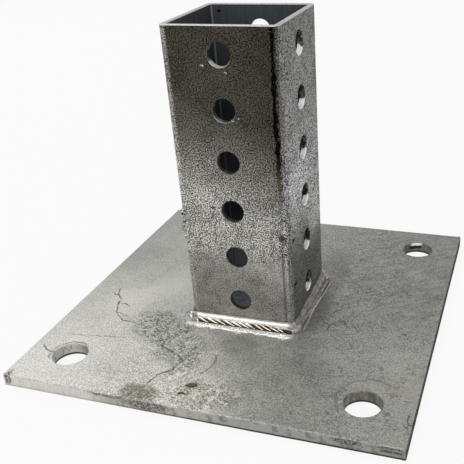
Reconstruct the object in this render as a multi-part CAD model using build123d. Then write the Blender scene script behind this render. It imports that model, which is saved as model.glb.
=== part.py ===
from build123d import *
from math import cos, hypot, radians, sin, sqrt
import os

# Sign post base: a square perforated sleeve that stands on a square plate and is fillet
# welded to it all round. The finished weldment is dipped in zinc.
# Millimetres. The origin is the centre of the plate's underside, and +Z points up the sleeve.

# Base plate, sheared from flat bar and punched for four anchor bolts
plate_side = 200.0
plate_thickness = 6.35
plate_edge_round = 0.6
anchor_to_edge = 23.8
anchor_hole = 17.46
anchor_hole_bevel = 0.5

# Sleeve, roll formed from perforated strip, so each face has one row of bolt holes
sleeve_side = 57.15
sleeve_wall = 2.67
sleeve_inner_round = 0.5
bolt_hole = 11.11
bolt_pitch = 25.4
bolt_rows = 6
top_to_bolt = 12.7
bolt_to_plate = 14.8

# Weld: the leg of each run, the leg of the lumps at the corners, and how far both bulge. The right
# run stands taller than its leg on the plate, and climbs the sleeve towards the back.
front_leg = 4.6
right_leg = 4.8
right_rise = 5.0
right_climb = 1.8
back_leg = 5.0
left_leg = 5.2
corner_leg = 5.6
weld_crown = 0.9
ripple_pitch = 3.4
ripple_step = 0.4
ripple_slant = 50.0
bulge_bands = 6

# Worked out from the sizes above
anchor_square = plate_side - 2 * anchor_to_edge
sleeve_half = sleeve_side / 2
sleeve_outer_round = sleeve_inner_round + sleeve_wall
sleeve_length = top_to_bolt + (bolt_rows - 1) * bolt_pitch + bolt_to_plate
weld_straight = sleeve_side - 2 * sleeve_outer_round


def make_base_plate():
    """The flat plate, its top edges rolled over by the shear and its holes by the punch."""
    plate = extrude(Rectangle(plate_side, plate_side), plate_thickness)
    plate = fillet(plate.edges().filter_by(Axis.Z) + plate.edges().group_by(Axis.Z)[-1], plate_edge_round)
    for centre in GridLocations(anchor_square, anchor_square, 2, 2):
        plate -= centre * Cylinder(anchor_hole / 2, 3 * plate_thickness)
    rims = plate.faces().sort_by(Axis.Z)[-1].edges().filter_by(GeomType.CIRCLE)
    rims = rims.filter_by(lambda rim: rim.radius > plate_edge_round * 2)
    return chamfer(rims, anchor_hole_bevel)


def make_post_sleeve():
    """The tube between the plate and its open top, with one row of bolt holes in each face."""
    inside = sleeve_side - 2 * sleeve_wall
    section = RectangleRounded(sleeve_side, sleeve_side, sleeve_outer_round)
    section -= RectangleRounded(inside, inside, sleeve_inner_round)
    sleeve = Pos(0, 0, plate_thickness) * extrude(section, sleeve_length)
    for row in range(bolt_rows):
        height = plate_thickness + bolt_to_plate + row * bolt_pitch
        for across in (Axis.X, Axis.Y):
            through = Plane(origin=(0, 0, height), z_dir=across.direction)
            sleeve -= through * Cylinder(bolt_hole / 2, 2 * sleeve_side)
    return sleeve


def ripple(along, leg):
    """One frozen ripple of the front run: a leaning coin, sunk so that its rim meets both toes."""
    slant = radians(ripple_slant)
    half_chord = leg / sqrt(2)
    radius = ((half_chord / cos(slant)) ** 2 + weld_crown**2) / (2 * weld_crown)
    sunk = radius - half_chord - weld_crown
    outward = Vector(0, -1, 1).normalized()
    downhill = Vector(0, -1, -1).normalized()
    root = Vector(along, -sleeve_half, plate_thickness)
    leaning = Plane(
        origin=root - outward * sunk,
        x_dir=outward,
        z_dir=Vector(1, 0, 0) * cos(slant) - downhill * sin(slant),
    )
    thickness = ripple_pitch * cos(slant)
    return leaning * Cone(radius - ripple_step, radius, thickness)


def make_rippled_run(leg):
    """The straight part of a run along the sleeve's front face, made of overlapping ripples."""
    spare = 2
    count = int(weld_straight / ripple_pitch) + 2 * spare + 1
    start = -(count - 1) / 2 * ripple_pitch
    bead = Part() + [ripple(start + step * ripple_pitch, leg) for step in range(count)]
    room = 2 * leg
    corridor = Box(weld_straight, room, room, align=(Align.CENTER, Align.MAX, Align.MIN))
    return bead & Pos(0, -sleeve_half, plate_thickness) * corridor


def weld_bulge(leg, rise):
    """The arc of a weld's outer face, from its toe on the plate to its toe on the sleeve."""
    chord = hypot(leg, rise)
    crown = (leg / 2 + weld_crown * rise / chord, rise / 2 + weld_crown * leg / chord)
    return ThreePointArc((leg, 0), crown, (0, rise))


def weld_section(leg, rise):
    """A bead cut across: its two legs, with its bulge between them in a few flat bands."""
    bulge = weld_bulge(leg, rise)
    bends = [bulge @ (step / bulge_bands) for step in range(bulge_bands + 1)]
    return make_face(Polyline((0, 0), *bends, close=True))


def make_smooth_run(leg, rise, climb):
    """The straight part of a run that was left smooth, rising by its climb from end to end."""
    half = weld_straight / 2
    ends = []
    for along, height in ((-half, rise), (half, rise + climb)):
        across = Plane(origin=(along, -sleeve_half, plate_thickness), x_dir=(0, -1, 0), z_dir=(-1, 0, 0))
        ends.append(across * weld_section(leg, height))
    return loft(ends, ruled=True)


def make_corner(side):
    """The lump where the bead turns round one of the sleeve's front corners."""
    section = Plane.XZ * weld_section(corner_leg, corner_leg)
    turned = revolve(Pos(sleeve_outer_round, 0, 0) * section, Axis.Z, 90)
    quarter = -90 if side > 0 else 180
    bend = (side * (sleeve_half - sleeve_outer_round), sleeve_outer_round - sleeve_half)
    return Pos(*bend, plate_thickness) * Rot(0, 0, quarter) * turned


def make_weld_round_corners(leg, turn):
    """A rippled run with the lumps at both of its ends, turned to its own side of the sleeve."""
    return Rot(0, 0, turn) * (make_rippled_run(leg) + make_corner(-1) + make_corner(1))


def make_weld_between_corners(leg, rise, climb, turn):
    """A smooth run that ends against its neighbours' lumps, turned to its own side of the sleeve."""
    return Rot(0, 0, turn) * make_smooth_run(leg, rise, climb)


nodes = {
    "base_plate": make_base_plate(),
    "post_sleeve": make_post_sleeve(),
    "weld_front": make_weld_round_corners(front_leg, 0),
    "weld_right": make_weld_between_corners(right_leg, right_rise, right_climb, 90),
    "weld_back": make_weld_round_corners(back_leg, 180),
    "weld_left": make_weld_between_corners(left_leg, left_leg, 0, 270),
}

os.makedirs("parts", exist_ok=True)
for name, solid in nodes.items():
    export_step(solid, f"parts/{name}.step")
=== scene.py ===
import math
import random
from functools import reduce

import bmesh
import bpy
from mathutils import Matrix, Vector


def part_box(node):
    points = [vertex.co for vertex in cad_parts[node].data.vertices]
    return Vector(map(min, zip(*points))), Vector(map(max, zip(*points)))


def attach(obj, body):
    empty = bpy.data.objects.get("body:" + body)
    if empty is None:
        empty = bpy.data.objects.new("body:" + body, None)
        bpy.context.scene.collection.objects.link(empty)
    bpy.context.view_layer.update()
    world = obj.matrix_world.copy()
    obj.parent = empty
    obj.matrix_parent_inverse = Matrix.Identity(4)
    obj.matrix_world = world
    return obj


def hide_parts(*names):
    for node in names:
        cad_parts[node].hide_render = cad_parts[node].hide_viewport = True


# Sign post base: a square perforated sleeve, fillet welded to a square plate and dipped in zinc.
# Metres, with the origin at the centre of the plate's underside and +Z up the sleeve.
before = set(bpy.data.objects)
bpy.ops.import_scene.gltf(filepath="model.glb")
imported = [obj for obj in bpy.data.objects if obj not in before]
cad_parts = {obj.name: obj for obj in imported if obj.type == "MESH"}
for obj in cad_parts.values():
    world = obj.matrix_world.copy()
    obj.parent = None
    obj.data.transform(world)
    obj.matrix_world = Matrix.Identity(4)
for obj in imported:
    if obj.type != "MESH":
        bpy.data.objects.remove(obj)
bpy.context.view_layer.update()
MM = 0.001


# Base plate: a square of 6.35 mm bar, sheared to size and punched for four anchor bolts.
# The shear and the punch rolled the edges over, and the zinc froze on it in a cloudy skin with
# cracks, tide lines and stains.
plate_low, plate_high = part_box("base_plate")
plate_top = plate_high.z
plate_half = plate_high.x
anchor_place = 76.2 * MM
anchors = [(across * anchor_place, along * anchor_place, 0) for across in (-1, 1) for along in (-1, 1)]
anchor_radius = 8.73 * MM
plate_cells = 79


def start_fresh():
    """Leaves edit mode and selects nothing, so that the next operator acts on one piece alone."""
    if bpy.context.object and bpy.context.object.mode == "EDIT":
        bpy.ops.object.mode_set(mode="OBJECT")
    bpy.ops.object.select_all(action="DESELECT")


def take(piece):
    """Makes a piece the only selected one."""
    start_fresh()
    bpy.context.view_layer.objects.active = piece
    piece.select_set(True)


def pick(piece, kind, test):
    """Opens a piece in edit mode with only those corners, edges or faces selected that pass a test."""
    take(piece)
    bpy.ops.object.mode_set(mode="EDIT")
    bpy.ops.mesh.select_mode(type=kind)
    bpy.ops.mesh.select_all(action="DESELECT")
    shape = bmesh.from_edit_mesh(piece.data)
    for element in {"VERT": shape.verts, "EDGE": shape.edges, "FACE": shape.faces}[kind]:
        if test(element):
            element.select_set(True)
    shape.select_flush_mode()
    bmesh.update_edit_mesh(piece.data)


def ends(edge):
    return [corner.co for corner in edge.verts]


def is_upright(edge):
    a, b = ends(edge)
    return abs(a.x - b.x) < 1e-6 and abs(a.y - b.y) < 1e-6


def settle(piece):
    """Puts a piece's place, turn and scale into its mesh."""
    take(piece)
    bpy.ops.object.transform_apply(location=True, rotation=True, scale=True)


def add_block(name, low, high):
    start_fresh()
    bpy.ops.mesh.primitive_cube_add(size=1, location=(low + high) / 2)
    piece = bpy.context.object
    piece.name = name
    piece.scale = high - low
    settle(piece)
    return piece


def change(piece, kind, **settings):
    """Adds a modifier, sets it and applies it."""
    take(piece)
    modifier = piece.modifiers.new(kind.title(), kind)
    for name, value in settings.items():
        setattr(modifier, name, value)
    bpy.ops.object.modifier_apply(modifier=modifier.name)


def shade(piece, angle):
    """Smooth shading between faces that meet at less than an angle, with flat stretches kept flat."""
    take(piece)
    bpy.ops.object.shade_smooth_by_angle(angle=math.radians(angle))
    change(piece, "WEIGHTED_NORMAL", keep_sharp=True)
    start_fresh()


def make_punch(radius, rings, along):
    """A round cutter through the origin. Its rings of (place, extra radius) give a hole its soft rims."""
    start_fresh()
    place, extra = rings[0]
    bpy.ops.mesh.primitive_circle_add(vertices=64, radius=radius + extra, fill_type="NGON")
    punch = bpy.context.object
    punch.location.z = place
    settle(punch)
    bpy.ops.object.mode_set(mode="EDIT")
    bpy.ops.mesh.select_all(action="SELECT")
    for (last_place, last_extra), (place, extra) in zip(rings, rings[1:]):
        bpy.ops.mesh.extrude_region_move(TRANSFORM_OT_translate={"value": (0, 0, place - last_place)})
        grow = (radius + extra) / (radius + last_extra)
        bpy.ops.transform.resize(value=(grow, grow, 1))
    bpy.ops.mesh.select_all(action="SELECT")
    bpy.ops.mesh.normals_make_consistent(inside=False)
    bpy.ops.object.mode_set(mode="OBJECT")
    quarter = math.pi / 2
    punch.rotation_euler = {"X": (0, quarter, 0), "Y": (quarter, 0, 0), "Z": (0, 0, 0)}[along]
    settle(punch)
    return punch


def punch_out(piece, punch, place):
    punch.location = place
    change(piece, "BOOLEAN", object=punch, operation="DIFFERENCE", solver="EXACT")
    bpy.data.objects.remove(punch)


def roughen(piece, size, strength, group=""):
    """Pushes a surface in and out a little, as on frozen zinc."""
    clouds = bpy.data.textures.new(piece.name + "_unevenness", "CLOUDS")
    clouds.noise_scale = size
    clouds.noise_depth = 2
    change(piece, "DISPLACE", texture=clouds, strength=strength, mid_level=0.5, vertex_group=group)


def at_plate_corner(spot):
    return min(abs(spot.x), abs(spot.y)) > plate_half - 1e-6


def on_plate_rim(edge):
    a, b = ends(edge)
    level = abs(a.z - b.z) < 1e-6
    return level and any(min(abs(a[k]), abs(b[k])) > plate_half - 1e-6 for k in (0, 1))


plate = add_block("galvanised_base_plate", plate_low, plate_high)
pick(plate, "EDGE", lambda edge: not is_upright(edge))
bpy.ops.mesh.subdivide(number_cuts=plate_cells)
pick(plate, "EDGE", lambda edge: is_upright(edge) and at_plate_corner(ends(edge)[0]))
bpy.ops.mesh.bevel(offset=0.9 * MM, segments=3, affect="EDGES")
pick(plate, "EDGE", lambda edge: on_plate_rim(edge) and ends(edge)[0].z > plate_top / 2)
bpy.ops.mesh.bevel(offset=0.7 * MM, segments=4, affect="EDGES")
pick(plate, "EDGE", lambda edge: on_plate_rim(edge) and ends(edge)[0].z < plate_top / 2)
bpy.ops.mesh.bevel(offset=0.45 * MM, segments=2, affect="EDGES")
bpy.ops.object.mode_set(mode="OBJECT")
roughen(plate, 9 * MM, 0.12 * MM)
anchor_rings = [(-2 * MM, 0.3 * MM), (0, 0.3 * MM), (0.4 * MM, 0), (plate_top - 0.9 * MM, 0)]
anchor_rings += [(plate_top - 0.4 * MM, 0.12 * MM), (plate_top - 0.12 * MM, 0.38 * MM)]
anchor_rings += [(plate_top, 0.7 * MM), (plate_top + 2 * MM, 2.7 * MM)]
for anchor in anchors:
    punch_out(plate, make_punch(anchor_radius, anchor_rings, "Z"), anchor)
shade(plate, 30)
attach(plate, "root")
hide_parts("base_plate")


def start_finish(name):
    """A new material, and the place on its piece in millimetres."""
    paint = bpy.data.materials.new(name)
    paint.use_nodes = True
    place = add_node(paint.node_tree, "TexCoord", {}).outputs["Object"]
    return paint, scale(place, 1 / MM)


def set_sockets(node, sockets):
    """Sets each of a node's sockets to a value, or joins it to another node's output."""
    for name, value in sockets.items():
        socket = node.inputs[name]
        if isinstance(value, bpy.types.NodeSocket):
            node.id_data.links.new(value, socket)
        else:
            socket.default_value = (*value, 1) if socket.type == "RGBA" else value


def add_node(tree, kind, sockets, **settings):
    node = tree.nodes.new("ShaderNode" + kind)
    for name, value in settings.items():
        setattr(node, name, value)
    set_sockets(node, sockets)
    return node


def tree_of(values):
    """The node tree of those values that are outputs of a node."""
    return next(value.id_data for value in values if isinstance(value, bpy.types.NodeSocket))


def calc(operation, *values):
    return add_node(tree_of(values), "Math", dict(enumerate(values)), operation=operation).outputs[0]


def vector_calc(operation, *values):
    return add_node(tree_of(values), "VectorMath", dict(enumerate(values)), operation=operation).outputs[0]


def scale(vector, share):
    return add_node(vector.id_data, "VectorMath", {0: vector, 3: share}, operation="SCALE").outputs[0]


def part(vector):
    """The three numbers of a place."""
    return add_node(vector.id_data, "SeparateXYZ", {0: vector}).outputs


def plain(value):
    """The grey whose lightness is a value."""
    return add_node(value.id_data, "CombineColor", {0: value, 1: value, 2: value}).outputs[0]


def every(*values):
    """All of the values multiplied."""
    return reduce(lambda total, value: calc("MULTIPLY", total, value), values)


def most(*values):
    """The largest of the values."""
    return reduce(lambda total, value: calc("MAXIMUM", total, value), values)


def plus(*values):
    return reduce(lambda total, value: calc("ADD", total, value), values)


def minus(value, less):
    return calc("SUBTRACT", value, less)


def gap(value, other):
    """How far two values are apart."""
    return calc("ABSOLUTE", minus(value, other))


def mapped(place, kind="POINT", **sockets):
    """A place that is moved, turned and scaled."""
    return add_node(place.id_data, "Mapping", {"Vector": place, **sockets}, vector_type=kind).outputs[0]


def noise(place, size, detail=4.0, roughness=0.6, stretch=(1, 1, 1), shift=0.0):
    """Clouds of about a size in millimetres, from 0 to 1."""
    at = mapped(place, Location=(shift, -shift, shift), Scale=stretch)
    sockets = {"Vector": at, "Scale": 1 / size, "Detail": detail, "Roughness": roughness}
    return add_node(place.id_data, "TexNoise", sockets).outputs[0]


def ramp(value, low, high, start=0.0, end=1.0):
    """Goes softly from start to end as the value goes from low to high."""
    sockets = {"Value": value, "From Min": low, "From Max": high, "To Min": start, "To Max": end}
    return add_node(value.id_data, "MapRange", sockets, interpolation_type="SMOOTHSTEP").outputs[0]


def wobble(place, size, reach):
    """The place, pushed about by up to half the reach, for ragged outlines."""
    push = vector_calc("SUBTRACT", noise(place, size, 3, 0.5).node.outputs[1], (0.5, 0.5, 0.5))
    return vector_calc("ADD", place, scale(push, reach * 2))


def patch(place, centre, size, turn=0.0, soft=0.5):
    """A soft oval patch: 1 in its middle and 0 past its rim."""
    inside = mapped(place, "TEXTURE", Location=centre, Scale=size, Rotation=(0, 0, math.radians(turn)))
    away = add_node(inside.id_data, "VectorMath", {0: inside}, operation="LENGTH").outputs["Value"]
    return ramp(away, 1 + soft / 2, 1 - soft / 2)


def strokes(place, points, width):
    """A thin drawn line through points in millimetres: 1 on the line and 0 beside it."""
    nearest = None
    for start, end in zip(points, points[1:]):
        away = place.id_data.nodes.new("ShaderNodeGroup")
        away.node_tree = stroke_group()
        set_sockets(away, {"Place": place, "Start": start, "End": end})
        nearest = calc("MINIMUM", nearest, away.outputs[0]) if nearest else away.outputs[0]
    return ramp(nearest, width * 0.75, width * 0.25)


def mix(share, first, second, blend="MIX"):
    sockets = {0: share, 6: first, 7: second}
    return add_node(tree_of(sockets.values()), "Mix", sockets, data_type="RGBA", blend_type=blend).outputs[2]


def tones(value, *stops):
    """A colour that follows a value through stops of (value, colour)."""
    low, high = stops[0][0], stops[-1][0]
    tree = value.id_data
    share = add_node(tree, "MapRange", {"Value": value, "From Min": low, "From Max": high}).outputs[0]
    node = add_node(tree, "ValToRGB", {0: share})
    band = node.color_ramp
    while len(band.elements) < len(stops):
        band.elements.new(0.5)
    for element, (stop, colour) in zip(band.elements, stops):
        element.position = (stop - low) / (high - low)
        element.color = (*colour, 1)
    return node.outputs[0]


def pour(paint, colour, roughness, metallic, height, gloss=0.5):
    """Joins up the shader and returns the material. The height of the skin is in millimetres."""
    bump = add_node(paint.node_tree, "Bump", {"Strength": 1.0, "Distance": MM, "Height": height})
    sockets = {"Specular IOR Level": gloss, "Base Color": colour, "Roughness": roughness}
    sockets.update({"Metallic": metallic, "Normal": bump.outputs[0]})
    set_sockets(paint.node_tree.nodes["Principled BSDF"], sockets)
    return paint


def stroke_group():
    """A node group that gives how far a place is from a straight stroke."""
    group = bpy.data.node_groups.get("stroke")
    if group:
        return group
    group = bpy.data.node_groups.new("stroke", "ShaderNodeTree")
    for name in ("Place", "Start", "End"):
        group.interface.new_socket(name=name, in_out="INPUT", socket_type="NodeSocketVector")
    group.interface.new_socket(name="Away", in_out="OUTPUT", socket_type="NodeSocketFloat")
    place, start, end = group.nodes.new("NodeGroupInput").outputs[:3]
    result = group.nodes.new("NodeGroupOutput")
    from_start = vector_calc("SUBTRACT", place, start)
    whole = vector_calc("SUBTRACT", end, start)
    reached = vector_calc("DOT_PRODUCT", from_start, whole).node.outputs["Value"]
    squared = vector_calc("DOT_PRODUCT", whole, whole).node.outputs["Value"]
    share = add_node(group, "Math", {0: reached, 1: squared}, operation="DIVIDE", use_clamp=True).outputs[0]
    away = vector_calc("SUBTRACT", from_start, scale(whole, share))
    set_sockets(result, {"Away": vector_calc("LENGTH", away).node.outputs["Value"]})
    return group


def grey(level):
    """The faintly olive grey of weathered zinc, at a given lightness."""
    return (level * 0.995, level, level * 0.92)


def plate_finish():
    paint, place = start_finish("zinc_on_plate")
    x, y, z = part(place)
    ragged = wobble(place, 14, 7)
    jagged = wobble(place, 2.4, 1.3)
    flat = vector_calc("MULTIPLY", jagged, (1, 1, 0))
    top = plate_top / MM

    def blot(across, along, wide, deep, turn=0.0, soft=0.7):
        return patch(ragged, (across, along, top), (wide, deep, 60), turn, soft)

    # Broad tone from the bright left to the duller right, partly painted light falling from the left,
    # brightest at the front left corner with a painted highlight
    tone = tones(x, (-100, grey(0.31)), (-78, grey(0.34)), (-62, grey(0.36)), (-25, grey(0.32)),
                 (15, grey(0.3)), (50, grey(0.25)), (100, grey(0.245)))
    tone = mix(every(patch(place, (-95, -95, 0), (75, 75, 100), 0, 1.6), 0.55), tone, (0.76, 0.74, 0.7))
    front_lift = every(ramp(y, 10, -50), ramp(x, -45, -5, 0, 0.42))
    clouds = noise(place, 34, 4, 0.55)
    blotches = noise(place, 7, 5, 0.62, shift=31)
    grain = noise(place, 0.75, 3, 0.7, shift=7)
    mottle = plus(ramp(clouds, 0.3, 0.7, 0.93, 1.07), ramp(blotches, 0.3, 0.7, -0.1, 0.1))
    grain_depth = every(ramp(x, -70, -15, 0.32, 0.6), ramp(x, 60, 90, 1, 0.75))
    mottle = plus(mottle, every(ramp(grain, 0.34, 0.66, -1, 1), grain_depth))
    turned = mapped(place, Rotation=(0, 0, math.radians(-35)))
    wiped = noise(turned, 2.4, stretch=(0.2, 1, 1))
    wiped = every(ramp(wiped, 0.35, 0.65, -0.13, 0.13), ramp(x, 20, 50), ramp(y, -40, 10))
    mottle = plus(mottle, wiped, front_lift)
    tone = mix(1.0, tone, plain(mottle), "MULTIPLY")

    # Painted shade: soft darker patches in front of the sleeve, a painted reflection of it, and beside the
    # right weld, a painted shadow of the sleeve
    for sleeve_shadow_and_reflection, strength in ((blot(6, -47, 9, 8), 0.25), (blot(44, -50, 8, 22, 25, 1), 0.15),
                            (blot(36, -8, 7, 20, 0, 0.9), 0.55), (blot(32, 36, 9, 28, 0, 0.8), 0.45)):
        tone = mix(every(sleeve_shadow_and_reflection, strength), tone, (0.1, 0.1, 0.1))
    # Painted highlight: a broad pale pinkish band over the left of the plate
    tone = mix(every(blot(-66, -13, 26, 9, 49, 1.4), 0.4), tone, (0.66, 0.6, 0.58))
    # Painted light: lighter behind the sleeve and to its left
    lit_behind_sleeve = most(blot(-36, 68, 12, 34, 0, 1), blot(-46, 8, 12, 26, 0, 1))
    tone = mix(every(lit_behind_sleeve, 0.3), tone, (0.6, 0.6, 0.56))

    # Mottled grey drosses in front of the sleeve's left corner and at the front edge
    speckle = ramp(noise(place, 3.2, 5, 0.7, shift=53), 0.42, 0.6)
    crumbs = ramp(noise(place, 0.95, 4, 0.7, shift=57), 0.4, 0.6)
    dross = most(blot(-40, -43, 21, 13, -22), blot(-22, -60, 13, 15, 40))
    crumbly = every(dross, ramp(crumbs, 0, 1, -0.42, 0.62))
    dross = plus(every(dross, speckle, 0.6), crumbly)
    dross = calc("MINIMUM", most(dross, 0), 1)
    tone = mix(dross, tone, (0.125, 0.125, 0.108))
    stain = every(blot(-26, -95, 9, 7, 0, 0.5), ramp(speckle, 0, 1, 0.35, 0.8))
    tone = mix(stain, tone, (0.3, 0.27, 0.18))
    tone = mix(every(blot(-27, -95, 10, 7, 0, 0.5), crumbs, 0.75), tone, (0.05, 0.04, 0.024))

    # Cream and yellow crust with dark outlines at the front edge, and two rust spots on it
    crust = noise(place, 5, 5, 0.68, shift=19)
    crust_zone = most(blot(4, -90, 19, 11, 8, 0.5), blot(-13, -76, 9, 6, 35, 0.8))
    tone = mix(every(crust_zone, ramp(crust, 0.47, 0.53), 0.85), tone, (0.78, 0.77, 0.7))
    yellow = most(blot(-16, -75, 6, 3.5, 35, 0.8), blot(-3, -85, 8, 4, 0, 0.8))
    tone = mix(every(yellow, ramp(crumbs, 0, 1, 0.15, 0.5)), tone, (0.48, 0.42, 0.24))
    outline = ramp(gap(crust, 0.49), 0.034, 0.012)
    tone = mix(every(crust_zone, outline, ramp(crumbs, 0, 1, 0.3, 0.95)), tone, (0.05, 0.048, 0.035))
    tone = mix(every(crust_zone, ramp(grain, 0.38, 0.52, 0.6, 0)), tone, (0.12, 0.115, 0.09))
    for across, along, wide, deep in ((-4.4, -83.8, 3.2, 1.7), (-6.8, -90.4, 2.2, 0.9)):
        spot = patch(jagged, (across, along, top), (wide, deep, 9), 15)
        tone = mix(every(spot, ramp(crumbs, 0, 1, 0.8, 1)), tone, (0.03, 0.012, 0.005))

    # Bright zinc splashed along the toe of the front weld, painted near white: partly its own colour and
    # partly a painted highlight
    splash = wobble(place, 2.2, 1.5)
    toe_width = ramp(noise(place, 5, 3, 0.6, shift=17), 0.35, 0.65, -35.8, -37.8)
    past = minus(part(splash)[1], toe_width)
    toe = every(ramp(past, -0.3, 0.3), ramp(part(splash)[1], -31, -32), ramp(x, -27.5, -24.5),
                ramp(x, 31, 27))
    toe = most(toe, every(patch(splash, (-27.6, -34.6, top), (2.4, 1.4, 9), 0, 1), 0.8))
    toe = every(toe, ramp(noise(place, 1.5, 3, 0.65, shift=88), 0.3, 0.42))
    tone = mix(every(toe, 0.95), tone, (1, 0.99, 0.95))

    # Cracks and scratches in the skin
    left_crack = [(-84.6, -11), (-82, -17), (-77.8, -21), (-76.9, -25.6), (-75, -31), (-72.9, -35),
                  (-68.5, -39), (-65.2, -41.4), (-60, -41.3), (-55.9, -42.3)]
    fork = [(-86.5, -14), (-84.6, -17.3), (-80.5, -18.5), (-77.8, -21)]
    upper_branch = [(-76.9, -25.6), (-73, -25.5), (-69.5, -26.8)]
    lower_branch = [(-72.9, -35), (-69, -35.3), (-65.6, -37.2)]
    hole_crack = [(-95, -72.5), (-89, -76.6), (-84.6, -77)]
    centre_crack = [(-34, -53), (-33, -58), (-24, -62), (-17, -67), (-19, -75), (-24, -80), (-26, -88)]
    corner_crack = [(97, -79), (99, -91)]
    weld_curl = [(45.2, -23.8), (45.7, -16.1), (50.1, -12.7), (54.2, -16.4)]
    cracks = [(left_crack, 0.62), (fork, 0.5), (upper_branch, 0.5), (lower_branch, 0.5), (hole_crack, 0.7),
              (centre_crack, 0.8), (corner_crack, 0.6), (weld_curl, 0.7)]
    lines = None
    for route, width in cracks:
        line = strokes(flat, [(*spot, 0) for spot in route], width)
        lines = most(lines, line) if lines else line
    faint = strokes(flat, [(-86, -60, 0), (-70, -58, 0), (-56, -55.4, 0)], 0.5)
    second = strokes(flat, [(-2, -59, 0), (-1, -66, 0), (-4, -75, 0)], 0.9)
    breaks = ramp(noise(place, 3.5, 3, 0.6, shift=61), 0.36, 0.5, 0.35, 1)
    lines = most(every(lines, breaks), every(most(faint, second), 0.65))
    for anchor in anchors:
        centre = [number / MM for number in anchor]
        rim = patch(wobble(place, 3, 0.5), centre, (9.25, 9.25, 100), 0, 0.05)
        lines = most(lines, every(rim, ramp(grain, 0.3, 0.5, 0.15, 0.5)))

    # Dark arcs at the front holes: close by the left one, and dotted and wider round the right one
    arcs = [((-77, -75.6, 0), 10.3, 9.4, 0.42, 0.75), ((78.5, -74, 0), 15.9, 14.9, 0.48, 1.0)]
    for centre, outer, inner_light_and_shade, least, strength in arcs:
        rim = patch(wobble(place, 4, 1.6), centre, (outer, outer, 100), 0, 0.08)
        hole = patch(wobble(place, 4, 1.6), centre, (inner_light_and_shade, inner_light_and_shade, 100), 0, 0.06)
        ring = every(rim, minus(1, hole), ramp(grain, least, least + 0.08), strength)
        facing = minus(minus(y, x), centre[1] - centre[0])
        lines = most(lines, every(ring, ramp(facing, -2, 3)))

    # Tide lines where the zinc ran off, mostly over the right of the plate
    tide = noise(place, 17, 5, 0.68, shift=140)
    tide_line = most(*[ramp(gap(tide, level), 0.012, 0.003) for level in (0.47, 0.56)])
    where = most(ramp(x, 18, 42), every(blot(-20, -80, 40, 24), 0.5))
    curls = most(blot(52, -13, 14, 11, -30), blot(42, 22, 12, 8, 20))
    amount = most(ramp(noise(place, 12, 3, 0.6, shift=77), 0.42, 0.6, 0.3, 0.85), curls)
    tide_line = every(tide_line, where, amount)
    pits = ramp(noise(place, 1.7, 2, 0.6, shift=23), 0.69, 0.75)
    pits = every(pits, ramp(noise(place, 17, 2, 0.5, shift=99), 0.4, 0.6, 0.1, 0.8))
    marks = most(lines, tide_line, pits)
    tone = mix(every(marks, 0.85), tone, (0.05, 0.047, 0.042))
    tone = mix(every(blot(89, -63, 6, 4, 10, 1), 0.22), tone, (0.36, 0.31, 0.17))

    # Sheared edges: streaked down the thickness, with dull chips and stains
    on_edge = minus(1, ramp(z, 5.5, 6.1))
    outside = most(calc("ABSOLUTE", x), calc("ABSOLUTE", y))
    on_edge = every(on_edge, ramp(outside, 99.2, 99.7))
    streaks = noise(place, 3, 4, 0.65, stretch=(1, 1, 0.25), shift=5)
    chips = ramp(noise(place, 5, 5, 0.72, shift=45), 0.5, 0.58)
    edge = tones(x, (-100, (0.8, 0.76, 0.71)), (-52, (0.72, 0.69, 0.64)), (-40, (0.46, 0.44, 0.39)),
                 (-10, (0.5, 0.48, 0.44)), (20, (0.38, 0.372, 0.355)), (100, (0.32, 0.314, 0.292)))
    edge = mix(ramp(streaks, 0.4, 0.7, 0, 0.3), edge, (0.2, 0.19, 0.17))
    edge = mix(every(chips, ramp(x, -56, -44, 0.1, 0.55)), edge, (0.09, 0.075, 0.055))
    smudges = [(-41, 5.6, 9, 1.3), (-20, 4, 11, 3), (74, 4.6, 7, 1.6), (94, 3.2, 5, 0.9), (92, 5.2, 6, 0.6)]
    for across, up, wide, tall in smudges:
        smudge = patch(jagged, (across, -100, up), (wide, 6, tall), 0, 0.6)
        edge = mix(every(smudge, ramp(crumbs, 0, 1, 0.2, 0.95)), edge, (0.035, 0.03, 0.02))
    # Painted contact shadow: a black line along the foot of the front edge, where the plate meets the floor
    contact_shadow = every(ramp(z, 1.6, 0.9), ramp(x, -60, 30, 0.25, 0.95))
    edge = mix(contact_shadow, edge, (0.012, 0.01, 0.008))
    tone = mix(on_edge, tone, edge)
    corner_chip = patch(jagged, (-97, -100, 4.2), (1.9, 6, 3.4))
    tone = mix(every(corner_chip, ramp(crumbs, 0, 1, 0.3, 0.95)), tone, (0.03, 0.025, 0.02))

    # Under the sleeve the plate is painted pale and bluish: painted light and shade for the sleeve's hollow,
    # where it shows dark and bluish
    covered = ramp(outside, 27, 26)
    tone = mix(covered, tone, mix(crumbs, (0.4, 0.42, 0.46), (0.75, 0.77, 0.82)))

    height = plus(every(grain, 0.045), every(blotches, 0.16))
    roughness = plus(ramp(blotches, 0.3, 0.7, 0.4, 0.54), every(most(dross, marks), 0.22))
    matt = most(stain, marks, toe, on_edge)
    return pour(paint, tone, roughness, ramp(matt, 0, 1, 0.45, 0.1), height, 0.3)


def on_right_edge(face):
    return face.normal.x > 0.6 and face.calc_center_median().x > plate_half - 0.6 * MM


def in_anchor_hole(face):
    """Faces of a punched wall, close round the axis of one of the four holes."""
    middle = face.calc_center_median()
    return math.hypot(abs(middle.x) - anchor_place, abs(middle.y) - anchor_place) < anchor_radius + 0.3 * MM


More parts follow.
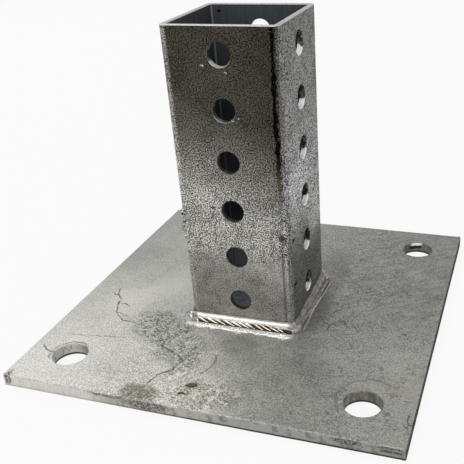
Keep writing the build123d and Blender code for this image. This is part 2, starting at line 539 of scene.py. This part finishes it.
def anchor_wall_finish():
    """Dull and brownish where the punch broke through, black at the foot with a painted shadow, and paler on
    the left.
    """
    paint, place = start_finish("punched_anchor_wall")
    x, _, z = part(place)
    streaks = noise(place, 3, 4, 0.65, stretch=(1, 1, 0.25), shift=5)
    grime = noise(place, 1.6, 4, 0.65, stretch=(1, 1, 0.7), shift=14)
    tone = mix(ramp(streaks, 0.35, 0.65), (0.27, 0.26, 0.23), (0.13, 0.12, 0.095))
    tone = mix(ramp(x, -66, -80, 0, 0.85), tone, (0.68, 0.64, 0.61))
    tone = mix(ramp(grime, 0.5, 0.64, 0, 0.6), tone, (0.06, 0.055, 0.04))
    # Painted shadow: black at the foot of the wall, where the plate meets the floor
    tone = mix(ramp(z, 1.7, 1, 0, 0.95), tone, (0.012, 0.01, 0.008))
    # In the back right hole, a dark notch under a bright chip of zinc
    jagged = wobble(place, 2.4, 1.3)
    for centre, size, colour in (((73.4, 84.6, 3.7), (4.8, 2.8, 1.3), (0.01, 0.009, 0.008)),
                                 ((74.6, 84.9, 5.7), (3.6, 2.4, 1), (1, 1, 0.95))):
        tone = mix(patch(jagged, centre, size, 20), tone, colour)
    return pour(paint, tone, 0.5, 0.2, every(streaks, 0.1), 0.3)


def right_edge_finish():
    """Dull brown scale, left where the zinc ran off the sheared right edge."""
    paint, place = start_finish("brown_sheared_edge")
    chips = noise(place, 3, 5, 0.7, stretch=(1, 1, 0.5))
    tone = mix(ramp(chips, 0.4, 0.62), (0.16, 0.14, 0.128), (0.045, 0.036, 0.03))
    return pour(paint, tone, 0.6, 0.0, every(chips, 0.1), 0.0)


def finish_faces(piece, test, paint):
    """Gives those faces of a piece that pass a test a finish of their own."""
    piece.data.materials.append(paint)
    pick(piece, "FACE", test)
    piece.active_material_index = len(piece.data.materials) - 1
    bpy.ops.object.material_slot_assign()
    start_fresh()


plate.data.materials.append(plate_finish())
finish_faces(plate, in_anchor_hole, anchor_wall_finish())
finish_faces(plate, on_right_edge, right_edge_finish())


# Sleeve: perforated square tube, roll formed from strip with the bolt holes already punched, so each
# wall has one row of six. It stands on the plate with its sawn end up, and its front is stained
# dark towards the top, where the zinc was wiped thin, and darkened there further by a painted
# reflection of something dark in front of it.
tube_low, tube_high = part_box("post_sleeve")
tube_half = tube_high.x
tube_wall = 2.67 * MM
tube_round = 3.17 * MM
bolt_radius = 5.555 * MM
bolt_pitch = 25.4 * MM
bolt_top = tube_high.z - 12.7 * MM
bolt_rows = 6

tube = add_block("perforated_sleeve", tube_low, tube_high)
pick(tube, "EDGE", is_upright)
bpy.ops.mesh.bevel(offset=tube_round, segments=8, affect="EDGES")
pick(tube, "FACE", lambda face: abs(face.normal.z) > 0.9)
bpy.ops.mesh.delete(type="FACE")
bpy.ops.object.mode_set(mode="OBJECT")
change(tube, "SOLIDIFY", thickness=tube_wall, offset=-1, use_even_offset=True)


def on_sawn_end(edge):
    a, b = ends(edge)
    level = min(a.z, b.z) > tube_high.z - 1e-6
    return level and any(abs(face.normal.z) < 0.5 for face in edge.link_faces)


pick(tube, "EDGE", on_sawn_end)
bpy.ops.mesh.bevel(offset=0.35 * MM, segments=3, affect="EDGES")
beyond = 5 * MM
outer_rings = [(beyond, 0.4 * MM + beyond), (0, 0.4 * MM), (-0.1 * MM, 0.2 * MM), (-0.3 * MM, 0.07 * MM),
               (-0.6 * MM, 0)]
bolt_rings = [(-tube_half - place, extra) for place, extra in outer_rings]
bolt_rings += [(tube_half + place, extra) for place, extra in reversed(outer_rings)]
for row in range(bolt_rows):
    for along in "XY":
        punch_out(tube, make_punch(bolt_radius, bolt_rings, along), (0, 0, bolt_top - row * bolt_pitch))


def in_bolt_hole(face):
    """Faces of a punched wall: all of their corners lie close round the axis of one hole."""
    row = round((bolt_top - face.calc_center_median().z) / bolt_pitch)
    level = bolt_top - row * bolt_pitch
    spots = [corner.co for corner in face.verts]
    from_axis = [max(math.hypot(spot[across], spot.z - level) for spot in spots) for across in (0, 1)]
    return min(from_axis) < bolt_radius + 0.7 * MM


# Zinc that froze as lumps on the front left corner and as a few drops elsewhere
draw = random.Random(11)
lumps = [(-27.6, -27.9, 69.5, 1.5), (-28, -27.2, 66.5, 1.1), (-27.8, -27.6, 62.5, 1.2),
         (-28.2, -26.4, 58.6, 0.9), (-27.4, -28, 55, 1), (-28.4, -25, 60.8, 1.3), (-8.75, -28.5, 143, 0.45),
         (3.75, -28.5, 118.2, 0.45), (-9.5, -28.5, 97, 0.45), (28.5, -20, 88, 0.6), (28.5, 12, 40, 0.7)]
drops = []
for across, along, height, radius in lumps:
    start_fresh()
    bpy.ops.mesh.primitive_ico_sphere_add(subdivisions=3, radius=radius * MM,
                                          location=(across * MM, along * MM, height * MM))
    drop = bpy.context.object
    drop.scale = (0.75, 0.75, draw.uniform(1.0, 1.6))
    settle(drop)
    roughen(drop, 1.1 * MM, 0.5 * MM)
    drops.append(drop)
take(tube)
for drop in drops:
    drop.select_set(True)
bpy.ops.object.join()
tube.data.materials.clear()
shade(tube, 32)
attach(tube, "root")
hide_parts("post_sleeve")


def sleeve_finish():
    paint, place = start_finish("zinc_on_sleeve")
    x, y, z = part(place)
    ragged = wobble(place, 16, 9)
    jagged = wobble(place, 2.5, 1.8)
    rough_z = part(ragged)[2]
    grain = noise(place, 0.68, 3, 0.7)
    fine = noise(place, 0.4, 2, 0.6, shift=15)
    blotches = noise(place, 6, 5, 0.65, shift=41)
    clouds = noise(place, 22, 3, 0.5, shift=12)

    # Front: stained olive brown at the top and darkened there by a painted reflection, pale and speckled in
    # the middle, flat grey at the foot
    stain_and_reflection_height = minus(rough_z, every(x, -0.28))
    front = tones(
        stain_and_reflection_height, (0, (0.26, 0.245, 0.205)), (22, (0.275, 0.268, 0.24)), (36, (0.29, 0.287, 0.262)),
        (44, (0.37, 0.367, 0.34)), (60, (0.4, 0.396, 0.368)), (74, (0.36, 0.356, 0.33)),
        (84, (0.235, 0.23, 0.208)), (96, (0.15, 0.144, 0.126)), (108, (0.095, 0.089, 0.076)),
        (122, (0.054, 0.05, 0.04)), (138, (0.05, 0.046, 0.036)), (168, (0.042, 0.038, 0.029)))
    # Right side: mid grey, with a bluish light band and a dull smooth foot, darkened by painted shade and a
    # painted reflection of the plate and weld
    side = tones(
        rough_z, (6, (0.125, 0.125, 0.115)), (30, (0.136, 0.138, 0.128)), (44, (0.17, 0.174, 0.166)),
        (51, (0.2, 0.204, 0.196)), (59, (0.31, 0.312, 0.302)), (68, (0.45, 0.452, 0.44)),
        (76, (0.54, 0.54, 0.53)), (88, (0.53, 0.535, 0.555)), (98, (0.385, 0.387, 0.385)),
        (110, (0.3, 0.303, 0.297)), (130, (0.27, 0.272, 0.266)), (148, (0.265, 0.266, 0.258)),
        (161, (0.25, 0.25, 0.242)))
    far_strip = every(ramp(y, -4, 14), ramp(rough_z, 76, 62), ramp(rough_z, 38, 50))
    side = mix(every(far_strip, 0.75), side, (0.52, 0.52, 0.51))
    far_low = every(ramp(y, 2, 16), ramp(z, 48, 40))
    side = mix(every(far_low, 0.3), side, (0.28, 0.282, 0.27))
    duller = every(ramp(y, -4, 16), ramp(z, 122, 108), ramp(z, 66, 76))
    side = mix(every(duller, 0.55), side, (0.3, 0.302, 0.296))
    is_front = ramp(y, -26.4, -28.2)
    tone = mix(is_front, side, front)

    # Dark line down the front right corner, with a lighter streaked bend beyond it
    rough_x = part(wobble(place, 3, 1.6))[0]
    line_width = every(ramp(rough_z, 72, 90, 0.3, 0.95), ramp(rough_z, 140, 112, 0.75, 1))
    from_line = gap(rough_x, 25.2)
    corner_line = every(ramp(minus(from_line, line_width), 0.35, -0.1), ramp(y, -25.6, -27))
    upper = ramp(rough_z, 76, 104, 0.3, 1)
    line_tone = mix(upper, (0.09, 0.07, 0.055), (0.003, 0.0025, 0.002))
    bend = every(ramp(x, 26.6, 27.4), ramp(y, -24.6, -26))
    streaks = noise(place, 1.6, 4, 0.65, stretch=(1, 1, 0.06), shift=8)
    bend_tone = mix(ramp(streaks, 0.35, 0.65), (0.12, 0.125, 0.13), (0.3, 0.305, 0.32))
    tone = mix(every(bend, 0.8), tone, bend_tone)
    # Painted shade: darker towards the right on the upper front
    painted_right_shade = every(is_front, ramp(rough_x, 10, 25), ramp(z, 88, 112, 0.1, 0.5))
    tone = mix(painted_right_shade, tone, (0.035, 0.03, 0.022))
    low_left = patch(ragged, (-22, -28.6, 44), (12, 5, 11), 0, 1)
    tone = mix(every(low_left, is_front, 0.4), tone, (0.42, 0.415, 0.39))
    rust_line = every(ramp(gap(x, 24.6), 0.9, 0.2), ramp(z, 66, 52), is_front, 0.6)
    tone = mix(rust_line, tone, (0.1, 0.075, 0.06))
    # Painted highlight along the front's left bend
    left_bend_highlight = every(ramp(x, -24.2, -26.2), ramp(y, -24, -26), ramp(z, 66, 84, 0.7, 0.45))
    tone = mix(left_bend_highlight, tone, (0.46, 0.45, 0.42))

    # Speckle: pale grains on the dark stain and painted reflection at the top, and dark grains on the pale
    # zinc below it
    stain_and_reflection = every(is_front, ramp(z, 80, 105))
    middle = every(ramp(z, 40, 54), ramp(z, 122, 100), most(is_front, ramp(x, 18, 26, 0.3, 1)))
    off_front = every(ramp(x, 18, 26, 0.35, 0.6), ramp(is_front, 0, 1, 1, 0.25))
    depth = most(every(stain_and_reflection, 0.6), ramp(middle, 0, 1, 0.3, 0.82), off_front)
    skin = every(ramp(grain, 0.4, 0.59, -1.5, 1.5), depth)
    shading = plus(ramp(blotches, 0.3, 0.7, 0.8, 1.2), ramp(clouds, 0.3, 0.7, -0.12, 0.12))
    shading = most(plus(shading, ramp(fine, 0.32, 0.68, -0.5, 0.5), skin), 0.1)
    tone = mix(1.0, tone, plain(shading), "MULTIPLY")

    # Dark pits and olive spots, thickest round the middle of the right side
    pits = ramp(noise(place, 1.5, 3, 0.6, stretch=(1, 0.5, 1), shift=66), 0.57, 0.61)
    not_front = minus(1, is_front)
    pit_zone = most(every(ramp(z, 52, 62), ramp(z, 110, 92, 0.3, 0.9), not_front),
                    every(ramp(y, -12, -16), ramp(y, -26, -23), ramp(z, 92, 100)))
    on_walls = most(ramp(x, 18, 26, 0.4, 1), is_front)
    pits = every(pits, most(pit_zone, ramp(is_front, 0, 1, 0.5, 0.06)), on_walls)
    spots = [(14.6, -28.6, 45.1, 0.9), (-10.4, -28.6, 73.5, 1.1), (28.6, -22, 56, 1.9), (28.6, -22, 31, 2),
             (28.6, 21, 29, 0.9), (-28, -12, 70, 1.5), (24.8, -28.6, 60, 2), (-27.8, -27.8, 68.5, 1.3),
             (-24.5, -28.6, 37, 0.7)]
    for across, along, height, radius in spots:
        size = (radius, radius * 1.3, radius * 0.8)
        pits = most(pits, patch(jagged, (across, along, height), size))
    tone = mix(every(pits, 0.85), tone, (0.028, 0.027, 0.02))
    flake = noise(place, 9, 4, 0.65, shift=101)
    flake_line = every(ramp(gap(flake, 0.5), 0.02, 0.004), not_front, ramp(z, 50, 64, 0.3, 0.75))
    scratch = noise(place, 7, 4, 0.65, stretch=(1, 1, 0.55), shift=204)
    scratch = ramp(gap(scratch, 0.5), 0.02, 0.004)
    scratch_zone = every(ramp(rough_z, 40, 50), ramp(rough_z, 92, 76))
    flake_line = most(flake_line, every(scratch, is_front, scratch_zone, 0.75))
    tone = mix(flake_line, tone, (0.05, 0.05, 0.045))
    drips = noise(place, 4, stretch=(1, 1, 0.2), shift=27)
    drips = every(ramp(drips, 0.58, 0.75, 0, 0.35), ramp(stain_and_reflection, 1, 0))
    tone = mix(drips, tone, (0.08, 0.078, 0.068))
    tone = mix(every(corner_line, upper), tone, line_tone)
    salt = ramp(noise(place, 0.8, 2, 0.6, shift=70), 0.66, 0.72)
    tone = mix(every(salt, stain_and_reflection, 0.4), tone, (0.3, 0.29, 0.26))
    flecks = [(-8.75, 143, 0.6), (2.9, 140.6, 0.5), (3.9, 118.2, 0.5), (7.3, 119.5, 0.35), (11.4, 97, 0.5),
              (-9.5, 97.5, 0.55)]
    for across, height, radius in flecks:
        fleck = patch(jagged, (across, -28.6, height), (radius, 2, radius * 0.7))
        tone = mix(every(fleck, 0.85), tone, (0.6, 0.6, 0.57))

    # Inside of the tube: blue black painted shade of the hollow, paler towards the foot with painted light;
    # and the bright sawn end
    inside = ramp(most(calc("ABSOLUTE", x), calc("ABSOLUTE", y)), 26.2, 25.95)
    inner_light_and_shade = tones(
        z, (6, (0.62, 0.66, 0.7)), (24, (0.5, 0.54, 0.58)), (36, (0.17, 0.185, 0.2)),
        (48, (0.11, 0.12, 0.135)), (64, (0.15, 0.165, 0.18)), (84, (0.13, 0.14, 0.155)),
        (104, (0.082, 0.091, 0.102)), (162, (0.08, 0.089, 0.1)))
    inner_light_and_shade = mix(ramp(streaks, 0.3, 0.7, 0.25, 0), inner_light_and_shade, (0.01, 0.01, 0.012))
    inside_corner = every(ramp(x, -25.1, -25.6), ramp(y, 24.4, 25.2))
    inner_light_and_shade = mix(every(inside_corner, 0.7), inner_light_and_shade, (0.3, 0.32, 0.33))
    inner_light_and_shade = mix(patch(place, (-21.8, 25.9, 157.4), (0.9, 1.5, 0.8), 0, 0.4), inner_light_and_shade, (0.004, 0.004, 0.004))
    tone = mix(inside, tone, inner_light_and_shade)
    sawn_tone = mix(ramp(grain, 0.3, 0.7), (0.44, 0.43, 0.41), (0.7, 0.69, 0.68))
    tone = mix(ramp(z, 160.35, 160.6), tone, sawn_tone)

    height = plus(every(grain, ramp(z, 40, 60, 0.05, 0.14)), every(blotches, 0.14))
    height = minus(height, every(pits, 0.15))
    roughness = ramp(blotches, 0.3, 0.7, 0.4, 0.52)
    metallic = every(most(ramp(stain_and_reflection, 0, 1, 0.5, 0.92), corner_line), ramp(is_front, 0, 1, 0.5, 1),
                     ramp(pits, 0, 1, 1, 0.1))
    return pour(paint, tone, roughness, metallic, height, 0.0)


def punched_edge_finish():
    paint, place = start_finish("bright_punched_edge")
    x, _, z = part(place)
    streaks = noise(place, 1.4, stretch=(1, 1, 0.6))
    # Height within a hole: zinc pooled bright in the lower half, painted white on the side walls as a partly
    # painted highlight, and the upper half is painted shade
    row = calc("FRACT", calc("DIVIDE", minus(bolt_top / MM, z), bolt_pitch / MM))
    ragged_row = plus(row, ramp(streaks, 0.3, 0.7, -0.03, 0.03))
    ragged_row = minus(ragged_row, ramp(z, 80, 30, 0, 0.045))
    lower = every(ramp(ragged_row, 0.085, 0.115), ramp(row, 0.5, 0.4))
    on_side = ramp(calc("ABSOLUTE", x), 24, 26)
    faced = mix(ramp(z, 100, 140), (0.1, 0.1, 0.095), (0.34, 0.34, 0.32))
    bright = mix(on_side, faced, (1, 1, 1))
    # Painted shade on the upper half of the wall
    dull = mix(ramp(streaks, 0.48, 0.6), (0.035, 0.032, 0.03), (0.26, 0.25, 0.235))
    dull = mix(on_side, (0.1, 0.1, 0.092), dull)
    tone = mix(lower, dull, bright)
    tone = mix(ramp(streaks, 0.5, 0.7, 0, 0.2), tone, dull)
    metallic = ramp(every(lower, on_side), 0, 1, 0.7, 0.1)
    return pour(paint, tone, 0.32, metallic, every(streaks, 0.1))


tube.data.materials.append(sleeve_finish())
finish_faces(tube, in_bolt_hole, punched_edge_finish())


# Front weld: one fillet run of overlapping ripples along the sleeve's front face, bright along its
# upper half. Between the ripples' lower ends the gaps are dark with soot and flux and with painted
# shade, and a lump stands at each end, where the bead turns round the corner.
def add_blob(centre, radii, turn=(0, 0, 0)):
    """A round lump at a place in millimetres."""
    start_fresh()
    bpy.ops.mesh.primitive_ico_sphere_add(subdivisions=3, radius=MM, location=Vector(centre) * MM)
    blob = bpy.context.object
    blob.scale = radii
    blob.rotation_euler = turn
    settle(blob)
    return blob


def fuse(name, lumps, grain, smoothing):
    """Runs separate lumps into one closed bead and trims off what lies in the plate."""
    take(lumps[0])
    for lump in lumps[1:]:
        lump.select_set(True)
    bpy.ops.object.join()
    bead = bpy.context.object
    bead.name = name
    change(bead, "REMESH", mode="VOXEL", voxel_size=grain)
    change(bead, "SMOOTH", factor=0.5, iterations=smoothing)
    pick(bead, "VERT", lambda corner: True)
    cut = (0, 0, plate_top - 0.15 * MM)
    bpy.ops.mesh.bisect(plane_co=cut, plane_no=(0, 0, 1), clear_inner=True, use_fill=True)
    bpy.ops.object.mode_set(mode="OBJECT")
    return bead


foot = plate_top / MM
face = -tube_half / MM
uphill = Vector((0, 1, 1)).normalized()
outward = Vector((0, -1, 1)).normalized()
half_run = 26.5
core_steps = 26


def spot(along, out, up):
    """A place by its distance along the front, out from the sleeve and up from the plate."""
    return Vector((along, face - out, foot + up))


def leaning(angle):
    """The turn of a ripple: its long way leans down the bead, and its short way stands out of it."""
    down_right = Vector((math.cos(angle), 0, 0)) - uphill * math.sin(angle)
    across = Vector((math.sin(angle), 0, 0)) + uphill * math.cos(angle)
    return Matrix((down_right, across, outward)).transposed()


def add_finger(start, end, thick, thin):
    """A lump that tapers from one place in millimetres to another."""
    start_fresh()
    bpy.ops.mesh.primitive_cone_add(vertices=20, radius1=thick * MM, radius2=thin * MM,
                                    depth=(end - start).length * MM, location=(start + end) / 2 * MM)
    finger = bpy.context.object
    finger.rotation_euler = (end - start).to_track_quat("Z", "Y").to_euler()
    settle(finger)
    return finger


def front_run(seed, ripples):
    """A core under a smooth upper ridge, with leaning ripples that taper down its lower half to the
    toe and die out near the right end. Lists the ripples."""
    draw = random.Random(seed)
    lumps = []
    for step in range(core_steps + 1):
        share = step / core_steps
        along = -half_run + share * 2 * half_run
        rise = 0.7 * share
        lumps.append(add_blob(spot(along, 1.35, 1.3 + rise / 2), (2.4, 1.9, 1.9)))
        lumps.append(add_blob(spot(along, 2.7 - 0.3 * share, 0.5), (2.4, 1.35, 1.3)))
        radius = draw.uniform(1.68, 1.86)
        turn = leaning(math.radians(draw.uniform(4, 12))).to_euler()
        lumps.append(add_blob(spot(along, 1.35, 3.0 + rise), (3.4, radius * 0.92, radius), turn))
    along = -half_run - 0.5
    thin = 0.04
    while along < 19.5:
        share = (along + half_run) / (2 * half_run)
        reach = draw.uniform(8, 10)
        start = spot(along, 1.9 - 0.2 * share, 3.0 + 0.3 * share)
        end = spot(along + reach, 4.45 - 0.3 * share, 0.45)
        thick = draw.uniform(0.62, 0.8) if share < 0.6 else draw.uniform(0.42, 0.52)
        lumps.append(add_finger(start, end, thick, thin))
        ripples.append((start, end, thick, thin))
        along += draw.uniform(3.9, 5.4) if share < 0.55 else draw.uniform(3.2, 4.2)
    spatter = 230
    for drop in range(spatter):
        along = draw.uniform(-half_run + 2, half_run + 1)
        size = draw.uniform(0.32, 0.72)
        out = draw.uniform(5.2, 7.4)
        lumps.append(add_blob(spot(along, out, 0), (size * 1.2, size, size * 1.1)))
    return lumps


def corner_lump(seed, side, reach, rise, first, last):
    """The bead where it turns round one corner of the front, between two angles from the front."""
    draw = random.Random(seed)
    bend = Vector((side * (tube_half - tube_round) / MM, (tube_round - tube_half) / MM, foot))
    lumps = []
    for angle in range(first, last + 1, 12):
        across = Vector((side * math.sin(math.radians(angle)), -math.cos(math.radians(angle)), 0))
        size = draw.uniform(0.9, 1.08)
        low = bend + across * (tube_round / MM + reach * 0.42) + Vector((0, 0, rise * 0.25))
        high = bend + across * (tube_round / MM + reach * 0.16) + Vector((0, 0, rise * 0.55))
        lumps.append(add_blob(low, (reach * 0.5 * size, reach * 0.5 * size, rise * 0.42)))
        lumps.append(add_blob(high, (reach * 0.36, reach * 0.36, rise * 0.4 * size)))
    return lumps


def limit(share):
    return min(max(share, 0), 1)


def mark_soot_and_shade(weld, ripples):
    """Gives each corner of a bead how much soot and painted shade it takes: 1 in its lower half between
    ripples, or else 0.
    """
    soot_and_shade = weld.data.attributes.new("soot_and_shade", "FLOAT", "POINT")
    for corner, mark in zip(weld.data.vertices, soot_and_shade.data):
        place = corner.co / MM
        out = face - place.y
        up = place.z - foot
        clear = 9.0
        for start, end, thick, thin in ripples:
            if -1.5 < place.x - start.x < 12:
                way = end - start
                share = limit((place - start).dot(way) / way.dot(way))
                clear = min(clear, (place - start - way * share).length - thick - (thin - thick) * share)
        share = (place.x + half_run) / (2 * half_run)
        narrower = 0.9 * max(share - 0.8, 0) / 0.2
        low = limit((out - up - 0.4 + 0.6 * share - narrower) / 0.5)
        started = limit((place.x + 26 - 1.1 * (out - 2.4)) / 0.5)
        ended = limit((29.6 - place.x) / 1.5)
        toe = limit((5.15 - 0.4 * share - out) / 0.3)
        mark.value = low * started * ended * toe * limit(clear / 0.26)


ripples = []
front_lumps = front_run(3, ripples)
front_lumps += corner_lump(4, -1, 3.9, 3.0, 15, 80) + corner_lump(5, 1, 4.6, 5.0, 0, 80)
front_weld = fuse("front_weld", front_lumps, 0.16 * MM, 1)
mark_soot_and_shade(front_weld, ripples)
shade(front_weld, 60)
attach(front_weld, "root")
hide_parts("weld_front")


def soot_and_shade_on(place):
    """The soot and painted shade that the mesh was given at a place."""
    return add_node(place.id_data, "Attribute", {}, attribute_name="soot_and_shade").outputs["Fac"]


def front_weld_finish():
    """Bright zinc with fine lines along the bead, soot and painted shade between the ripples, and a dull
    right end.
    """
    paint, place = start_finish("bright_front_weld")
    lines = noise(place, 1.1, stretch=(0.16, 1, 1))
    blotches = noise(place, 3, shift=9)
    tone = mix(ramp(lines, 0.55, 0.72), (1, 1, 0.98), (0.5, 0.47, 0.43))
    x = part(place)[0]
    grime = noise(place, 1.5, 4, 0.7, shift=33)
    dull = patch(wobble(place, 4, 1.5), (31, -30.5, 9.5), (5, 6, 5.5))
    dull_tone = mix(ramp(grime, 0.35, 0.65), (0.46, 0.42, 0.41), (0.22, 0.195, 0.185))
    tone = mix(every(dull, 0.95), tone, dull_tone)
    rough_x = part(wobble(place, 2.2, 0.9))[0]
    ring = every(ramp(rough_x, -24.3, -25.5), ramp(rough_x, -29.2, -28), 0.9)
    ring_tone = mix(ramp(blotches, 0.4, 0.62), (0.22, 0.21, 0.195), (0.48, 0.46, 0.43))
    tone = mix(ring, tone, ring_tone)
    # Soot and painted shade between the ripples' lower ends
    soot_and_shade = soot_and_shade_on(place)
    soot_and_shade_tone = mix(ramp(x, 8, 17), (0.042, 0.033, 0.014), (0.03, 0.013, 0.008))
    soot_and_shade_tone = mix(ramp(grime, 0.54, 0.68, 0, 0.6), soot_and_shade_tone, (0.26, 0.18, 0.11))
    gilt = every(ramp(soot_and_shade, 0.05, 0.4), ramp(x, 26, 23))
    tone = mix(gilt, tone, (0.5, 0.39, 0.22))
    tone = mix(ramp(soot_and_shade, 0.35, 0.75), tone, soot_and_shade_tone)
    height = plus(every(lines, 0.3), every(blotches, 0.1))
    roughness = ramp(most(dull, soot_and_shade), 0, 1, 0.3, 0.55)
    metallic = minus(0.9, every(most(dull, ring), 0.6))
    return pour(paint, tone, roughness, metallic, height)


front_weld.data.materials.append(front_weld_finish())


# Side welds: wider fillet runs up the left and right faces, left smooth and dull. The right one climbs
# the sleeve towards the back, and each has a thin raised line along its outer toe.
def smooth_run(seed, reach, widening, rise, climb, last):
    """A full wide run that was left smooth, along the front's place until it is turned to its side."""
    draw = random.Random(seed)
    lumps = []
    for step in range(core_steps + 1):
        share = step / core_steps
        along = -half_run + share * (last + half_run)
        top = rise + climb * share
        out = reach + widening * share
        wave = draw.uniform(-0.3, 0.3)
        lumps.append(add_blob(spot(along, 0.75, top - 1.35 + wave), (2.3, 1.25, 1.4)))
        lumps.append(add_blob(spot(along, out * 0.38 + wave, top * 0.46), (2.2, out * 0.42, top * 0.38)))
        lumps.append(add_blob(spot(along, out - 1.5, 0.6 - wave), (2.3, 1.6, 1.35)))
        seam = toe_line(along) + draw.uniform(-0.12, 0.12)
        lumps.append(add_blob(spot(along, seam, 0), (1.6, 0.36, 0.42)))
    return lumps


def toe_line(along):
    """How far out from the sleeve the thin raised line at a smooth run's toe lies."""
    return 4.2 + 0.4 * max(-along - 6, 0) / 20 + 1.2 * max(along + 6, 0) / 23


def side_weld_finish(name, pale):
    paint, place = start_finish(name)
    x, y, _ = part(place)
    lines = noise(place, 1.3, stretch=(1, 0.35, 1))
    blotches = noise(place, 2.6, 5, 0.7, shift=9)
    tone = mix(ramp(lines, 0.38, 0.64), (0.24, 0.232, 0.23), (0.11, 0.106, 0.105))
    tone = mix(ramp(blotches, 0.45, 0.62, 0, 0.65), tone, (0.36, 0.34, 0.335))
    tone = mix(pale, tone, (0.5, 0.49, 0.46))
    seam = [(tube_half / MM + toe_line(along), along, foot) for along in (-26, -6, 17, 26)]
    groove = [(across - 0.9, along, foot) for across, along, foot in seam]
    tone = mix(every(strokes(place, groove, 1.4), 0.6), tone, (0.05, 0.05, 0.048))
    line = every(strokes(place, seam, 1.5), ramp(lines, 0.3, 0.5, 0.4, 1))
    tone = mix(every(line, 0.75), tone, (0.5, 0.485, 0.45))
    burnt = every(ramp(y, 4, 14), ramp(calc("ABSOLUTE", x), 31.4, 29.8), ramp(blotches, 0.4, 0.6))
    tone = mix(every(burnt, 0.55), tone, (0.17, 0.11, 0.07))
    pinhole = patch(place, (31.3, 24.2, 9.4), (0.9, 0.9, 0.9))
    tone = mix(pinhole, tone, (0.01, 0.01, 0.01))
    height = plus(every(lines, 0.22), every(blotches, 0.2))
    return pour(paint, tone, 0.55, 0.4, height)


side_welds = [("right_weld", "weld_right", 90, 0.0, (7, 3.4, 1.2, 4.9, 2.3, 22.6)),
              ("left_weld", "weld_left", 270, 0.7, (8, 4.0, 0.4, 5.0, 0.4, 26.5))]
for name, node, quarter, pale, run in side_welds:
    weld = fuse(name, smooth_run(*run), 0.2 * MM, 3)
    weld.rotation_euler.z = math.radians(quarter)
    settle(weld)
    shade(weld, 60)
    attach(weld, "root")
    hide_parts(node)
    weld.data.materials.append(side_weld_finish("dull_" + name, pale))


# Back weld: a rippled run like the front's, with its own corner lumps, in a duller zinc.
back_ripples = []
back_lumps = front_run(13, back_ripples)
back_lumps += corner_lump(14, -1, 4.6, 4.6, 0, 80) + corner_lump(15, 1, 5.0, 4.6, 0, 80)
back_weld = fuse("back_weld", back_lumps, 0.2 * MM, 1)
mark_soot_and_shade(back_weld, back_ripples)
back_weld.rotation_euler.z = math.pi
settle(back_weld)
shade(back_weld, 60)
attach(back_weld, "root")
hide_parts("weld_back")


def back_weld_finish():
    paint, place = start_finish("dull_back_weld")
    lines = noise(place, 1.1, stretch=(0.16, 1, 1))
    tone = mix(ramp(lines, 0.42, 0.68), (0.36, 0.35, 0.335), (0.19, 0.185, 0.175))
    # Soot and painted shade between the ripples' lower ends
    tone = mix(every(soot_and_shade_on(place), 0.8), tone, (0.07, 0.055, 0.035))
    return pour(paint, tone, 0.4, 0.8, every(lines, 0.3))


back_weld.data.materials.append(back_weld_finish())


# Studio: a plain white floor that runs into a white background, one large soft lamp high on the
# left and one weaker lamp in front.
def seen(tree):
    """1 for a ray from the camera, a mirror or glass, and 0 for the light that falls on the object."""
    path = add_node(tree, "LightPath", {}).outputs
    return most(path["Is Camera Ray"], path["Is Glossy Ray"], path["Is Transmission Ray"])


start_fresh()
bpy.ops.mesh.primitive_plane_add(size=8, location=(0, 0, -0.1 * MM))
floor = bpy.context.object
floor.name = "floor"
floor_paint = bpy.data.materials.new("white_floor")
floor_paint.use_nodes = True
tree = floor_paint.node_tree
tree.nodes.clear()
matt = add_node(tree, "BsdfDiffuse", {"Color": (0.86, 0.86, 0.86)}).outputs[0]
white = add_node(tree, "Emission", {}).outputs[0]
either = add_node(tree, "MixShader", {0: every(seen(tree), 0.88), 1: matt, 2: white}).outputs[0]
add_node(tree, "OutputMaterial", {"Surface": either})
floor.data.materials.append(floor_paint)

world = bpy.data.worlds.new("studio")
bpy.context.scene.world = world
world.use_nodes = True
tree = world.node_tree
tree.nodes.clear()
level = add_node(tree, "MapRange", {"Value": seen(tree), "To Min": 0.56, "To Max": 1.0}).outputs[0]
sky = add_node(tree, "Background", {"Color": (1, 1, 1), "Strength": level}).outputs[0]
add_node(tree, "OutputWorld", {"Surface": sky})


def add_lamp(name, place, size, power):
    lamp = bpy.data.lights.new(name, "AREA")
    lamp.shape = "DISK"
    lamp.size = size
    lamp.energy = power
    holder = bpy.data.objects.new(name, lamp)
    holder.location = place
    holder.rotation_euler = (Vector(place) - Vector((0, 0, 0.05))).to_track_quat("Z", "Y").to_euler()
    bpy.context.scene.collection.objects.link(holder)


add_lamp("key", (-0.9, 0.75, 1.1), 0.9, 3)
add_lamp("fill", (0.35, -1.3, 0.9), 1.2, 8)

# Camera: stands to the right of the front and looks down on the base, framed as the photograph is.
turn = math.radians(19.616)
lift = math.radians(28.205)
roll = math.radians(-3.127)
distance = 397.447 * MM
aim = Vector((15.07, 4.71, 30.524)) * MM
picture = 464
focal_pixels = 722.003
centre_x = 286.906
centre_y = 258.092
back = Vector((math.sin(turn) * math.cos(lift), -math.cos(turn) * math.cos(lift), math.sin(lift)))
across = Vector((math.cos(turn), math.sin(turn), 0))
rise = back.cross(across)
tilted_across = across * math.cos(roll) + rise * math.sin(roll)
tilted_rise = rise * math.cos(roll) - across * math.sin(roll)
camera_data = bpy.data.cameras.new("camera")
camera_data.sensor_width = 36
camera_data.lens = focal_pixels / picture * camera_data.sensor_width
camera_data.shift_x = (picture / 2 - centre_x) / picture
camera_data.shift_y = (centre_y - picture / 2) / picture
camera_data.clip_start = 0.01
camera = bpy.data.objects.new("camera", camera_data)
camera.location = aim + back * distance
camera.rotation_euler = Matrix((tilted_across, tilted_rise, back)).transposed().to_euler()
bpy.context.scene.collection.objects.link(camera)
bpy.context.scene.camera = camera
bpy.context.scene.view_settings.view_transform = "Standard"
